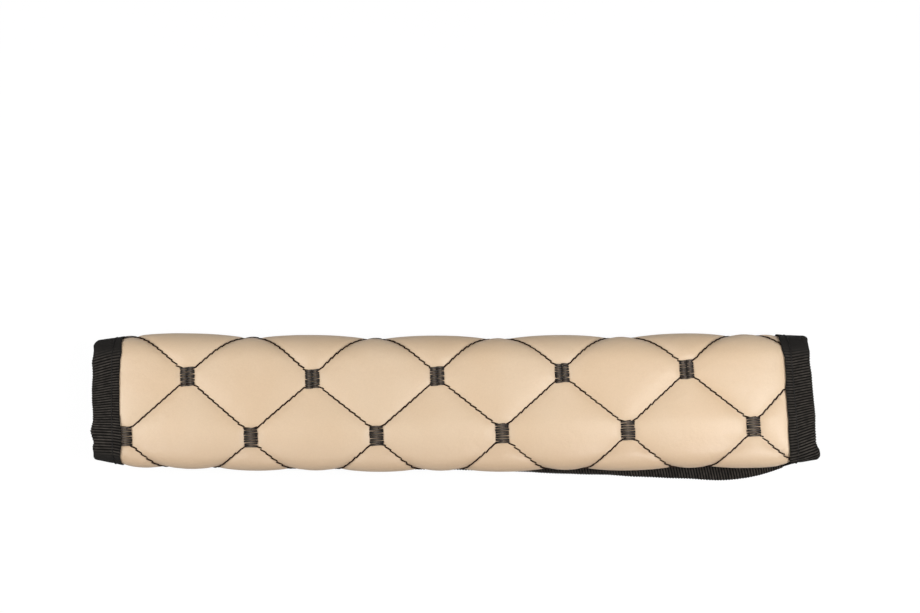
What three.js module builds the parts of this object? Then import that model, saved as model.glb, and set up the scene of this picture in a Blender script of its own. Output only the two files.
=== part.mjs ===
// Seat belt shoulder pad: one quilted leatherette panel wrapped round into a flat sleeve for the belt
// and closed underneath with hook and loop strips. Millimetres; x runs along the pad, y across it, z up.
// The panel is laid out flat first: u along the pad, s across the panel from the edge that is tucked
// inside to the edge of the outer flap, and lift away from the level of the quilting seams.

import * as THREE from "three";

// The whole pad
const padLength = 333.7;
const padBow = 2.2; // how far the middle of the pad sags sideways
const padBowLean = 0.25; // how far the right end stands above the left one, halved
const padLean = 0.04; // the ends and the quilting lean by this slope
const endPinch = 1.2; // how far the bindings draw in each side of an end
const endPinchReach = 22;

// The quilting
const patternSpan = 28.8; // from one column of tacks to the next
const rowSpan = 28; // from one row of tacks to the next
const panelRows = 6; // rows across the panel
const edgeMargin = 5.1; // how far the panel carries on past its outermost rows
const patternOrigin = 21.05; // u of column 0
const patternSkew = 0.0165; // how far the rows rise along the pad
const lowerRowY = -17.1; // where the row nearest the lower fold lies
const lowerRow = 2;
const tackWidth = 5.75;
const tackHeight = 9;
const tackBody = 0.5;
const tackRidge = 0.2;
const tackRidges = 3;
const threadWidth = 0.5;
const threadBody = 0.4;
const stitchLift = 0.25; // from the seam level to the underside of threads and tacks

// How far the padding puffs up between the seams
const puffTop = 2.3;
const puffFold = 2.1;
const puffTuck = 0.4;
const puffPower = 0.7;
const pressReach = 8; // the padding comes back to full height this far from a binding

// The layers, from the outside in
const coverWall = 0.9;
const foamWall = 1.2;
const liningWall = 0.5;
const clearance = 0.3;

// The binding tape, folded over every edge
const tapeWall = 0.6;
const tapeWidth = 12.6;
const tapeFloorGap = 0.05; // the pressed quilting carries the pad, and holds its tape just off the floor

// The closure
const stripWall = 1.3;
const stripInset = 1; // between a strip and the binding or fold beside it
const flapLean = 0.055; // the outer flap is closed askew by this slope
const flapCrossing = 18; // where its edge passes out from under the pad
const flapRoll = 131; // where its corner starts to roll back under
const flapRollReach = 27;

// The wrap
const sleeveGap = 7; // free height between the linings, for the belt
const lowerFoldY = -24.3;
const upperFoldY = 17;
const upperFoldRadius = 12.2;

// How finely the surfaces are stepped
const spanSteps = 6;
const foldSteps = 8;
const quarterSteps = 4;
const bendMargin = 3; // the finer rows carry on this far past a bend

// Levels and lengths that follow from these sizes
const halfLength = padLength / 2;
const endSetback = clearance + tapeWall;
const panelEnd = halfLength - endSetback;
const wall = coverWall + foamWall + liningWall + 2 * clearance;
const tapeLift = stitchLift + tackBody + clearance;
const tapeTop = tapeLift + tapeWall;
const tapeBottom = -(wall + clearance + tapeWall);
const tapeReach = tapeWidth - endSetback;
const flapLevel = tapeTop + tapeFloorGap;
const hookLift = wall + clearance;
const tuckLevel = flapLevel + hookLift + stripWall + clearance + stripWall + tapeLift;
const topLevel = tuckLevel + wall + sleeveGap + wall;
const lowerFoldRadius = (topLevel - tuckLevel) / 2;
const underFoldRadius = topLevel - flapLevel - upperFoldRadius;
const panelWidth = panelRows * rowSpan + 2 * edgeMargin;
const columnsEachWay = Math.ceil((halfLength + Math.abs(patternOrigin)) / patternSpan) + 1;
const lowerFoldArc = Math.PI * lowerFoldRadius;
const tuckLength = edgeMargin + lowerRow * rowSpan - lowerFoldArc - (lowerRowY - lowerFoldY);
const stripWidth = tuckLength - tapeReach - 2 * stripInset;
const topLength = upperFoldY - lowerFoldY;
const upperFoldArc = (Math.PI / 2) * upperFoldRadius;
const underFoldArc = (Math.PI / 2) * underFoldRadius;
const flapLength = panelWidth - tuckLength - lowerFoldArc - topLength - upperFoldArc - underFoldArc;

// The panel's run round the sleeve, as straight legs and bends
const legs = [
  { length: tuckLength, radius: Infinity },
  { length: lowerFoldArc, radius: lowerFoldRadius },
  { length: topLength, radius: Infinity },
  { length: upperFoldArc, radius: upperFoldRadius },
  { length: underFoldArc, radius: underFoldRadius },
  { length: flapLength, radius: Infinity },
];
let legStart = 0;
let corner = new THREE.Vector2(lowerFoldY + tuckLength, tuckLevel);
let heading = Math.PI;
for (const leg of legs) {
  leg.start = legStart;
  leg.corner = corner;
  leg.heading = heading;
  legStart += leg.length;
  corner = walk(leg, leg.length);
  heading -= leg.length / leg.radius;
}
const [tuckLeg, lowerFold, , upperFold, underFold, flapLeg] = legs;

// The place in the section that lies a distance along one leg
function walk(leg, distance) {
  if (leg.radius === Infinity) {
    const along = new THREE.Vector2(Math.cos(leg.heading), Math.sin(leg.heading));
    return leg.corner.clone().addScaledVector(along, distance);
  }
  const turned = leg.heading - distance / leg.radius;
  return new THREE.Vector2(
    leg.corner.x + leg.radius * (Math.sin(leg.heading) - Math.sin(turned)),
    leg.corner.y + leg.radius * (Math.cos(turned) - Math.cos(leg.heading)),
  );
}

function smoothstep(value) {
  return THREE.MathUtils.smoothstep(value, 0, 1);
}

// How far the outer flap's free edge stands out past its plain line
function flapOverhang(u) {
  const out = u - flapCrossing;
  const lean = out > 0 ? flapLean : flapLean / 4;
  return lean * out * (1 - smoothstep((u - flapRoll) / flapRollReach));
}

// A place on the panel, from its flat layout, in the pad's own frame
function place(u, s, lift) {
  const flapShare = THREE.MathUtils.clamp((s - flapLeg.start) / flapLength, 0, 1);
  const path = s + flapShare * flapOverhang(u);
  const leg = legs.findLast((item) => path >= item.start) ?? tuckLeg;
  const distance = path - leg.start;
  const turned = leg.heading - distance / leg.radius;
  const base = walk(leg, distance);
  const share = u / halfLength;
  const bow = padBow * (share * share - 1) + padBowLean * share;
  const y = base.x - lift * Math.sin(turned);
  const z = base.y + lift * Math.cos(turned);
  const middle = (lowerFoldY + upperFoldY) / 2;
  const drawn = endPinch * smoothstep((Math.abs(u) - halfLength + endPinchReach) / endPinchReach);
  const narrowed = y - (drawn * (y - middle)) / (topLength / 2 + upperFoldRadius);
  return new THREE.Vector3(u - padLean * (y - middle), narrowed + bow, Math.max(z, 0));
}

// The quilting runs askew on the panel, and straightens towards its bound edges
function patternS(u, s) {
  const inner = smoothstep((s - tapeWidth) / (tuckLength - tapeWidth));
  const outer = smoothstep((panelWidth - tapeWidth - s) / (flapLength - tapeWidth));
  return s + patternSkew * u * inner * outer;
}

// Index along the pattern to length: the steps beside a tack end at the tack's own edge
function latticeLength(index, span, tackHalf) {
  const whole = Math.floor(index / spanSteps);
  const part = index - whole * spanSteps;
  const step = (span - 2 * tackHalf) / (spanSteps - 2);
  const near = Math.min(part, 1) * tackHalf;
  const middle = THREE.MathUtils.clamp(part - 1, 0, spanSteps - 2) * step;
  const far = Math.max(part - spanSteps + 1, 0) * tackHalf;
  return whole * span + near + middle + far;
}

function columnU(i) {
  return patternOrigin + latticeLength(i, patternSpan, tackWidth / 2);
}

function rowS(j) {
  if (j === 0) return 0;
  if (j === panelRows * spanSteps) return panelWidth;
  return edgeMargin + latticeLength(j, rowSpan, tackHeight / 2);
}

function insideLeg(s, leg, margin) {
  return s > leg.start - margin && s < leg.start + leg.length + margin;
}

function isBent(s) {
  return [lowerFold, upperFold, underFold].some((leg) => insideLeg(s, leg, bendMargin));
}

function hasTack(m, r) {
  return (m + r) % 2 === 0;
}

// How far the padding stands up over the seams, at a lattice index and its place on the panel
function puff(i, j, u, s) {
  const p = i / spanSteps;
  const q = j / spanSteps;
  const m = Math.round(p);
  const r = Math.round(q);
  const isNear = Math.abs(i - m * spanSteps) <= 1 && Math.abs(j - r * spanSteps) <= 1;
  if (isNear && hasTack(m, r)) return 0;
  const cell = Math.abs(Math.sin((Math.PI * (p + q)) / 2) * Math.sin((Math.PI * (p - q)) / 2));
  const endPress = smoothstep((halfLength - Math.abs(u) - tapeWidth) / pressReach);
  const edgePress = smoothstep((Math.min(s, panelWidth - s) - tapeReach) / pressReach);
  const outward = smoothstep((s - tuckLength) / (lowerFoldArc / 2));
  const upward = smoothstep((s - tuckLength - lowerFoldArc / 2) / (lowerFoldArc / 2));
  const height = puffTuck + (puffFold - puffTuck) * outward + (puffTop - puffFold) * upward;
  return height * Math.pow(cell, puffPower) * endPress * edgePress;
}

// One closed solid, gathered as points and faces
class Solid {
  points = [];
  faces = [];

  vertex(u, s, lift) {
    this.points.push(place(u, s, lift));
    return { u, s, index: this.points.length - 1 };
  }

  face(a, b, c, flip) {
    this.faces.push(flip ? [a.index, c.index, b.index] : [a.index, b.index, c.index]);
  }

  // Fill between two rows of vertices, taking the nearer next vertex of either row in turn
  stitch(rowA, rowB, key, flip = false) {
    let a = 0;
    let b = 0;
    while (a < rowA.length - 1 || b < rowB.length - 1) {
      const nextA = a < rowA.length - 1 ? rowA[a + 1][key] : Infinity;
      const nextB = b < rowB.length - 1 ? rowB[b + 1][key] : Infinity;
      if (nextA <= nextB) {
        this.face(rowA[a], rowA[a + 1], rowB[b], flip);
        a += 1;
      } else {
        this.face(rowA[a], rowB[b + 1], rowB[b], flip);
        b += 1;
      }
    }
  }

  volume() {
    const corners = ([a, b, c]) => [this.points[a], this.points[b], this.points[c]];
    const part = ([a, b, c]) => a.dot(new THREE.Vector3().crossVectors(b, c)) / 6;
    return this.faces.reduce((sum, face) => sum + part(corners(face)), 0);
  }

  geometry() {
    if (this.volume() < 0) this.faces.forEach((face) => face.reverse());
    const position = this.points.flatMap((point) => point.toArray());
    const geometry = new THREE.BufferGeometry();
    geometry.setAttribute("position", new THREE.Float32BufferAttribute(position, 3));
    geometry.setIndex(this.faces.flat());
    geometry.computeVertexNormals();
    return geometry;
  }
}

// Columns for surfaces without quilting: wide apart, and close where the flap's corner rolls
function plainColumns(isEdge, end) {
  const columns = [-end];
  for (let i = -columnsEachWay * spanSteps; i < columnsEachWay * spanSteps; i += 1) {
    const u = columnU(i);
    const close = isEdge && u > flapRoll - patternSpan;
    if (Math.abs(u) < end - 1 && (close || i % spanSteps === 0)) columns.push(u);
  }
  columns.push(end);
  return columns;
}

// Rows for surfaces without quilting: only the bends are stepped
function plainRows() {
  const rows = [0, tapeReach + stripInset];
  for (const leg of [lowerFold, upperFold, underFold]) {
    const steps = leg === lowerFold ? foldSteps : quarterSteps;
    for (let k = 0; k <= steps; k += 1) rows.push(leg.start + (leg.length * k) / steps);
  }
  rows.push(panelWidth - tapeReach - stripInset, panelWidth);
  return rows.filter((s, k) => k === 0 || s - rows[k - 1] > 1e-6);
}

function plainSurface(solid, lift) {
  return plainRows().map((s) => {
    const isEdge = s === 0 || s === panelWidth;
    return plainColumns(isEdge, panelEnd).map((u) => solid.vertex(u, s, lift));
  });
}

// The quilted face: every second lattice point, so that each seam runs along the edges of its faces
function quiltedSurface(solid) {
  const rows = [];
  for (let j = 0; j <= panelRows * spanSteps; j += 0.5) {
    if (Number.isInteger(j) || isBent(rowS(j))) rows.push(quiltedRow(solid, j));
  }
  return rows;
}

function quiltedRow(solid, j) {
  const s = rowS(j);
  if (s === 0 || s === panelWidth) return plainColumns(true, panelEnd).map((u) => solid.vertex(u, s, 0));
  const row = [solid.vertex(-panelEnd, patternS(-panelEnd, s), 0)];
  for (let i = -columnsEachWay * spanSteps; i < columnsEachWay * spanSteps; i += 0.5) {
    const u = columnU(i);
    if (Math.abs(u) < panelEnd - 1 && isLatticePoint(i, j)) {
      const askew = patternS(u, s);
      row.push(solid.vertex(u, askew, puff(i, j, u, askew)));
    }
  }
  row.push(solid.vertex(panelEnd, patternS(panelEnd, s), 0));
  return row;
}

function isLatticePoint(i, j) {
  const m = Math.round(i / spanSteps);
  const r = Math.round(j / spanSteps);
  const beside = Math.abs(i - m * spanSteps) === 1 && Math.abs(j - r * spanSteps) < 1;
  if (beside && hasTack(m, r)) return true;
  return Number.isInteger(j) ? Number.isInteger(i) && (i + j) % 2 === 0 : !Number.isInteger(i);
}

// A sheet between an outer and an inner surface, with walls along its four edges
function sheetGeometry(makeOuter, makeInner) {
  const solid = new Solid();
  const outer = makeOuter(solid);
  const inner = makeInner(solid);
  for (let k = 1; k < outer.length; k += 1) solid.stitch(outer[k - 1], outer[k], "u");
  for (let k = 1; k < inner.length; k += 1) solid.stitch(inner[k - 1], inner[k], "u", true);
  solid.stitch(inner[0], outer[0], "u");
  solid.stitch(inner.at(-1), outer.at(-1), "u", true);
  solid.stitch(inner.map((row) => row.at(-1)), outer.map((row) => row.at(-1)), "s");
  solid.stitch(inner.map((row) => row[0]), outer.map((row) => row[0]), "s", true);
  return solid.geometry();
}

// A bar of one section carried through a row of stations, with flat ends: at() gives the u, s and lift
// of a section's point at a station
function barGeometry(section, stations, at) {
  const solid = new Solid();
  const rings = stations.map((station) => section.map((point) => solid.vertex(...at(station, point))));
  const count = section.length;
  for (let k = 1; k < rings.length; k += 1) {
    for (let m = 0; m < count; m += 1) {
      const next = (m + 1) % count;
      solid.face(rings[k - 1][m], rings[k - 1][next], rings[k][next], false);
      solid.face(rings[k - 1][m], rings[k][next], rings[k][m], false);
    }
  }
  const backwards = THREE.ShapeUtils.isClockWise(section);
  for (const [a, b, c] of THREE.ShapeUtils.triangulateShape(section, [])) {
    solid.face(rings[0][a], rings[0][b], rings[0][c], !backwards);
    solid.face(rings.at(-1)[a], rings.at(-1)[b], rings.at(-1)[c], backwards);
  }
  return solid.geometry();
}

// The tape's folded section: x is how far in from the bound edge, y is the lift
function tapeSection() {
  return [
    [tapeWidth, tapeTop],
    [0, tapeTop],
    [0, tapeBottom],
    [tapeWidth, tapeBottom],
    [tapeWidth, tapeBottom + tapeWall],
    [tapeWall, tapeBottom + tapeWall],
    [tapeWall, tapeLift],
    [tapeWidth, tapeLift],
  ].map(([x, y]) => new THREE.Vector2(x, y));
}

function endBinding(side) {
  const stations = plainRows();
  stations[0] = -endSetback;
  stations[stations.length - 1] = panelWidth + endSetback;
  return barGeometry(tapeSection(), stations, (s, point) => [side * (halfLength - point.x), s, point.y]);
}

const sideBindingEnd = halfLength - tapeWidth - clearance;

function flapEdgeBinding() {
  const stations = plainColumns(true, sideBindingEnd);
  const outerEdge = panelWidth + endSetback;
  return barGeometry(tapeSection(), stations, (u, point) => [u, outerEdge - point.x, point.y]);
}

function tuckEdgeBinding() {
  const stations = plainColumns(false, sideBindingEnd);
  return barGeometry(tapeSection(), stations, (u, point) => [u, point.x - endSetback, point.y]);
}

// A closure strip: its width runs along s from the given start, and its wall is carried at the lift
function closureStrip(start, lift) {
  const section = [
    [0, 0],
    [0, stripWall],
    [stripWidth, stripWall],
    [stripWidth, 0],
  ].map(([x, y]) => new THREE.Vector2(x, y));
  const stations = plainColumns(false, sideBindingEnd - stripInset);
  return barGeometry(section, stations, (u, point) => [u, start + point.x, lift + point.y]);
}

// The zigzag of one quilting thread, as lattice indices: along each tack's edge, then across
function threadPath(row) {
  const path = [];
  for (let m = -columnsEachWay; m < columnsEachWay; m += 1) {
    const level = hasTack(m, row) ? row * spanSteps + 1 : (row + 1) * spanSteps - 1;
    const rise = hasTack(m, row) ? 1 : -1;
    const start = m * spanSteps;
    path.push({ i: start - 1, j: level });
    for (let k = 1; k <= spanSteps - 1; k += 0.5) {
      const j = level + rise * (k - 1);
      const isCorner = k === 1 || k === spanSteps - 1;
      if (k < spanSteps - 1 && (isCorner || isBent(rowS(j)))) path.push({ i: start + k, j });
    }
  }
  return path.map(({ i, j }) => new THREE.Vector2(columnU(i), rowS(j)));
}

function clipPath(path, end) {
  const crossing = (a, b, u) => a.clone().lerp(b, (u - a.x) / (b.x - a.x));
  const first = path.findIndex((point) => point.x > -end);
  const last = path.findLastIndex((point) => point.x < end);
  return [
    crossing(path[first - 1], path[first], -end),
    ...path.slice(first, last + 1),
    crossing(path[last], path[last + 1], end),
  ];
}

function quiltThread(row) {
  const path = clipPath(threadPath(row), panelEnd - clearance);
  const stations = path.map((point, k) => {
    const before = point.clone().sub(path[Math.max(k - 1, 0)]).normalize();
    const after = path[Math.min(k + 1, path.length - 1)].clone().sub(point).normalize();
    const along = before.add(after).normalize();
    return { point, along };
  });
  const section = [
    [-threadWidth / 2, 0],
    [threadWidth / 2, 0],
    [0, threadBody],
  ].map(([x, y]) => new THREE.Vector2(x, y));
  return barGeometry(section, stations, ({ point, along }, corner) => {
    const u = point.x - along.y * corner.x;
    const s = point.y + along.x * corner.x;
    return [u, patternS(u, s), stitchLift + corner.y];
  });
}

// A satin bar tack: strands across it lie in ridges, and it ends just short of the threads that pass it
function barTack(m, r) {
  const halfHeight = tackHeight / 2 - threadWidth / 2 - clearance;
  const u0 = m * patternSpan + patternOrigin;
  const s0 = edgeMargin + r * rowSpan;
  const section = [
    [-1, 0],
    [1, 0],
    [1, 1],
    [-1, 1],
  ].map(([x, y]) => new THREE.Vector2(x, y));
  const stations = [];
  for (let k = 0; k <= 2 * tackRidges; k += 1) {
    const body = k % 2 === 1 ? tackBody : tackBody - tackRidge;
    stations.push({ ds: halfHeight * (k / tackRidges - 1), body });
  }
  return barGeometry(section, stations, ({ ds, body }, corner) => {
    const u = u0 + (corner.x * tackWidth) / 2;
    return [u, patternS(u, s0 + ds), stitchLift + corner.y * body];
  });
}

// Finishes
const finishes = {
  leatherette: new THREE.MeshStandardMaterial({ color: 0xe2c7a2, roughness: 0.55, metalness: 0 }),
  foam: new THREE.MeshStandardMaterial({ color: 0xd8d4c8, roughness: 0.95, metalness: 0 }),
  lining: new THREE.MeshStandardMaterial({ color: 0x3a3835, roughness: 0.9, metalness: 0 }),
  tape: new THREE.MeshStandardMaterial({ color: 0x1c1b1c, roughness: 0.75, metalness: 0 }),
  strip: new THREE.MeshStandardMaterial({ color: 0x161617, roughness: 0.9, metalness: 0 }),
  thread: new THREE.MeshStandardMaterial({ color: 0x241c18, roughness: 0.6, metalness: 0 }),
  satin: new THREE.MeshStandardMaterial({ color: 0x19181a, roughness: 0.35, metalness: 0 }),
};

const pad = new THREE.Group();
pad.name = "seat_belt_shoulder_pad";

function addPiece(name, geometry, finish) {
  const mesh = new THREE.Mesh(geometry, finish);
  mesh.name = name;
  pad.add(mesh);
}

// The layers of the panel
const foamLift = -(coverWall + clearance);
const liningLift = foamLift - foamWall - clearance;
const surfaceAt = (lift) => (solid) => plainSurface(solid, lift);
addPiece("outer_cover", sheetGeometry(quiltedSurface, surfaceAt(-coverWall)), finishes.leatherette);
addPiece("foam_padding", sheetGeometry(surfaceAt(foamLift), surfaceAt(foamLift - foamWall)), finishes.foam);
addPiece("inner_lining", sheetGeometry(surfaceAt(liningLift), surfaceAt(-wall)), finishes.lining);

// The bound edges
addPiece("end_binding_left", endBinding(-1), finishes.tape);
addPiece("end_binding_right", endBinding(1), finishes.tape);
addPiece("flap_edge_binding", flapEdgeBinding(), finishes.tape);
addPiece("tuck_edge_binding", tuckEdgeBinding(), finishes.tape);

// The closure: hooks on the outer flap's lining, loops on the tucked flap's cover
const hookStart = panelWidth - tapeReach - stripInset - stripWidth;
addPiece("hook_strip", closureStrip(hookStart, -hookLift - stripWall), finishes.strip);
addPiece("loop_strip", closureStrip(tapeReach + stripInset, tapeLift), finishes.strip);

// The stitching
for (let row = 0; row < panelRows; row += 1) {
  addPiece(`quilt_thread_${row + 1}`, quiltThread(row), finishes.thread);
}
for (let r = 1; r < panelRows; r += 1) {
  let count = 0;
  for (let m = -columnsEachWay; m < columnsEachWay; m += 1) {
    const isShown = Math.abs(m * patternSpan + patternOrigin) < halfLength - tapeWidth + tackWidth / 2;
    if (!hasTack(m, r) || !isShown) continue;
    count += 1;
    addPiece(`bar_tack_r${r}_c${count}`, barTack(m, r), finishes.satin);
  }
}

// The origin lies under the middle of the pad
const middle = new THREE.Box3().setFromObject(pad).getCenter(new THREE.Vector3());
pad.position.set(-middle.x, -middle.y, 0);

export default pad;
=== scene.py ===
import math

import bpy
import numpy as np
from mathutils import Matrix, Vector


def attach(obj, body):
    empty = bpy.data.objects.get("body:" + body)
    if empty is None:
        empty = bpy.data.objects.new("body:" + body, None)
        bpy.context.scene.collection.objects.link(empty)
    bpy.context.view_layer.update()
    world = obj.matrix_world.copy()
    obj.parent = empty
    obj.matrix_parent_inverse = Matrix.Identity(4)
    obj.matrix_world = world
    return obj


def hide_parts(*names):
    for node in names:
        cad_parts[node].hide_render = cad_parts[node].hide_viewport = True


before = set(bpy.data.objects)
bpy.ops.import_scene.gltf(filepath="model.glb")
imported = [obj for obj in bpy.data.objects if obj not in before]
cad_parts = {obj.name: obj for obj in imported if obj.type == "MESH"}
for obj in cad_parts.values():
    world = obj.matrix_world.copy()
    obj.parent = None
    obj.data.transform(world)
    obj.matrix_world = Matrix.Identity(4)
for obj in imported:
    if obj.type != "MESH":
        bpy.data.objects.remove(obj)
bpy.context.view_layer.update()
scene = bpy.context.scene
print("frame loaded")


# the panel's flat layout, in millimetres: u runs along the pad, s across the panel from the tucked edge to
# the flap's edge, and lift stands out from the level of the quilting seams
panel = {
    "halfLength": 166.85, "edgeSetback": 0.9, "span": 28.8, "rowSpan": 28.0, "rows": 6,
    "edgeMargin": 5.1, "origin": 21.05, "skew": 0.0165, "lean": 0.04, "endPinch": 1.2,
    "endPinchReach": 22.0, "coverWall": 0.9, "bow": 2.2, "bowLean": 0.25, "flapLean": 0.055,
    "flapCrossing": 18.0, "flapRoll": 121.0, "flapRollReach": 47.0, "shoulder": 1.5,
    "shoulderReach": 15.0, "endReach": 26.0, "drawIn": 1.7, "drawInStart": 138.0,
    "drawInReach": 18.0, "pinchSide": 14.0, "leftPinch": (1.9, 2.1), "rightPinch": (0.3, 1.6),
    "tapeWidth": 12.6, "toPad": (0.1100, 3.5632, 0.0),
}
halfLength = panel["halfLength"]
setback = panel["edgeSetback"]
rowSpan = panel["rowSpan"]
panelEnd = halfLength - setback
panelWidth = panel["rows"] * rowSpan + 2 * panel["edgeMargin"]
lowerRowS = panel["edgeMargin"] + 2 * rowSpan

# where the folds lie across the pad, and the heights of the three flat legs
lowerFoldY = -24.3
lowerRowY = -17.1
upperFoldY = 17.0
topLevel = 22.55
tuckLevel = 9.15
flapLevel = 1.70
upperRadius = 12.2
lowerRadius = (topLevel - tuckLevel) / 2
underRadius = topLevel - flapLevel - upperRadius
tuckLength = lowerRowS - math.pi * lowerRadius - (lowerRowY - lowerFoldY)


def makeLegs():
    # the flat legs and the folds in turn: start and length over the cloth, radius, place and heading
    lengths = [tuckLength, math.pi * lowerRadius, upperFoldY - lowerFoldY]
    lengths += [math.pi / 2 * upperRadius, math.pi / 2 * underRadius]
    lengths.append(panelWidth - sum(lengths))
    radii = [0, lowerRadius, 0, upperRadius, underRadius, 0]
    legs = []
    start, heading = 0.0, math.pi
    y, z = lowerFoldY + tuckLength, tuckLevel
    for length, radius in zip(lengths, radii):
        legs.append((start, length, radius, y, z, heading))
        if radius:
            turned = heading - length / radius
            y += radius * (math.sin(heading) - math.sin(turned))
            z += radius * (math.cos(turned) - math.cos(heading))
            heading = turned
        else:
            y += length * math.cos(heading)
            z += length * math.sin(heading)
        start += length
    return legs


legs = makeLegs()
topStart = legs[2][0]
flapStart, flapLength = legs[5][:2]


def smooth(value):
    value = np.clip(value, 0, 1)
    return value * value * (3 - 2 * value)


def wave(value, seed, size=1.0):
    # a smooth wandering line through 0, the same each run
    turns = [(0.37, 0.5), (0.91, 0.3), (1.73, 0.2)]
    return size * sum(share * np.sin(value * rate + seed * (3.1 + 7 * rate)) for rate, share in turns)


def place(u, s, lift):
    # a place on the panel, from its flat layout, in metres in the pad's own frame
    u, s, lift = np.broadcast_arrays(*[np.asarray(value, float) for value in (u, s, lift)])
    out = u - panel["flapCrossing"]
    lean = np.where(out > 0, panel["flapLean"], panel["flapLean"] / 4)
    rolled = smooth((u - panel["flapRoll"]) / panel["flapRollReach"])
    path = s + np.clip((s - flapStart) / flapLength, 0, 1) * lean * out * (1 - rolled)
    y, z, turned = np.zeros_like(u), np.zeros_like(u), np.zeros_like(u)
    for k, (start, _, radius, cornerY, cornerZ, heading) in enumerate(legs):
        here = path >= start if k else np.ones(u.shape, bool)
        d = path[here] - start
        if radius:
            turn = heading - d / radius
            y[here] = cornerY + radius * (math.sin(heading) - np.sin(turn))
            z[here] = cornerZ + radius * (np.cos(turn) - math.cos(heading))
            turned[here] = turn
        else:
            y[here] = cornerY + d * math.cos(heading)
            z[here] = cornerZ + d * math.sin(heading)
            turned[here] = heading
    # the top slopes down a little towards the lower fold
    before = smooth(1 - (path - topStart) / panel["shoulderReach"])
    after = smooth((path - topStart) / (math.pi / 2 * lowerRadius) + 1)
    sunk = lift - panel["shoulder"] * np.where(path > topStart, before, after)
    y = y - sunk * np.sin(turned)
    z = z + sunk * np.cos(turned)
    share = u / halfLength
    bow = panel["bow"] * (share * share - 1) + panel["bowLean"] * share
    middle = (lowerFoldY + upperFoldY) / 2
    drawn = smooth((np.abs(u) - halfLength + panel["endPinchReach"]) / panel["endPinchReach"])
    narrowed = y - panel["endPinch"] * drawn * (y - middle) / ((upperFoldY - lowerFoldY) / 2 + upperRadius)
    # the bound ends are gathered a little more by their tape, each in its own way
    near = np.clip((np.abs(u) - halfLength + panel["endReach"]) / panel["endReach"], 0, 1.1)
    side = np.clip((y - middle) / panel["pinchSide"], -1, 1)
    for sign, pinch in ((-1, panel["leftPinch"]), (1, panel["rightPinch"])):
        gather = np.where(u * sign > 0, near ** 2, 0)
        narrowed = narrowed - gather * (pinch[0] * np.maximum(side, 0) + pinch[1] * np.minimum(side, 0))
    along = u - panel["drawIn"] * smooth((u - panel["drawInStart"]) / panel["drawInReach"])
    spot = np.stack([along - panel["lean"] * (y - middle), narrowed + bow, np.maximum(z, 0)], -1)
    return (spot + np.array(panel["toPad"])) * 0.001


def outwardAt(u, s):
    way = place(u, s, 0.6) - place(u, s, 0.1)
    return way / np.linalg.norm(way, axis=-1, keepdims=True)


# how far the tacks of two rows stand off their even places, from the u of the first, and their seam
drift = {
    "rows": {
        2: (-151.8, [0.24, 0.24, 0.59, 0.70, 0.59, 0.24]),
        3: (-123.0, [0.35, -0.94, -0.35, -0.12, -0.12]),
    },
    "seam": 0.5,
    "seamReach": 3.6,
}


def rowDrift(row, u):
    first, offsets = drift["rows"][row]
    return np.interp(u, first + 2 * panel["span"] * np.arange(len(offsets)), offsets)


def patternS(u, s, seams=True):
    # the quilting runs a little askew, and straightens towards the bound edges
    inner = smooth((s - panel["tapeWidth"]) / (tuckLength - panel["tapeWidth"]))
    outer = smooth((panelWidth - panel["tapeWidth"] - s) / (flapLength - panel["tapeWidth"]))
    moved = s + panel["skew"] * u * inner * outer
    for row in drift["rows"]:
        away = np.abs(s - panel["edgeMargin"] - row * rowSpan) / rowSpan
        moved = moved + rowDrift(row, u) * smooth(1 - away)
    if seams:
        between = np.minimum(s - lowerRowS, lowerRowS + rowSpan - s) / drift["seamReach"]
        moved = moved + drift["seam"] * smooth(between)
    return moved


def newMesh(name, points, faces, edges=(), **attributes):
    # attributes: one number or one vector a point
    mesh = bpy.data.meshes.new(name)
    edges = [list(map(int, edge)) for edge in edges]
    faces = [list(map(int, face)) for face in faces]
    mesh.from_pydata(np.asarray(points).tolist(), edges, faces)
    for label, values in attributes.items():
        values = np.asarray(values, np.float32)
        isVector = values.ndim == 2
        layer = mesh.attributes.new(label, "FLOAT_VECTOR" if isVector else "FLOAT", "POINT")
        layer.data.foreach_set("vector" if isVector else "value", values.ravel())
    mesh.update()
    return mesh


def newObject(name, data):
    made = bpy.data.objects.new(name, data)
    scene.collection.objects.link(made)
    return made


def bake(carrier, name):
    # the evaluated shape of an object as a plain mesh of its own, and the carrier goes
    depsgraph = bpy.context.evaluated_depsgraph_get()
    shape = carrier.evaluated_get(depsgraph)
    mesh = bpy.data.meshes.new_from_object(shape, preserve_all_data_layers=True, depsgraph=depsgraph)
    bpy.data.objects.remove(carrier)
    mesh.name = name
    made = newObject(name, mesh)
    mesh.shade_smooth()
    return made


def finishPiece(piece, material, nodes=()):
    piece.data.materials.clear()
    piece.data.materials.append(material)
    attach(piece, "root")
    if nodes:
        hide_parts(*nodes)


def mathNode(operation, swapped=False):
    def work(self, other=0.5):
        values = {0: other, 1: self} if swapped else {0: self, 1: other}
        return self.graph.node("ShaderNodeMath", values, {"operation": operation})

    return work


class Wire:
    # one socket of a node tree: sums and products of it add their Math nodes
    def __init__(self, graph, socket):
        self.graph = graph
        self.socket = socket

    __add__ = mathNode("ADD")
    __sub__ = mathNode("SUBTRACT")
    __rsub__ = mathNode("SUBTRACT", True)
    __mul__ = mathNode("MULTIPLY")
    __truediv__ = mathNode("DIVIDE")
    __pow__ = mathNode("POWER")
    __abs__ = mathNode("ABSOLUTE")
    sine = mathNode("SINE")
    whole = mathNode("FLOOR")


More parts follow.
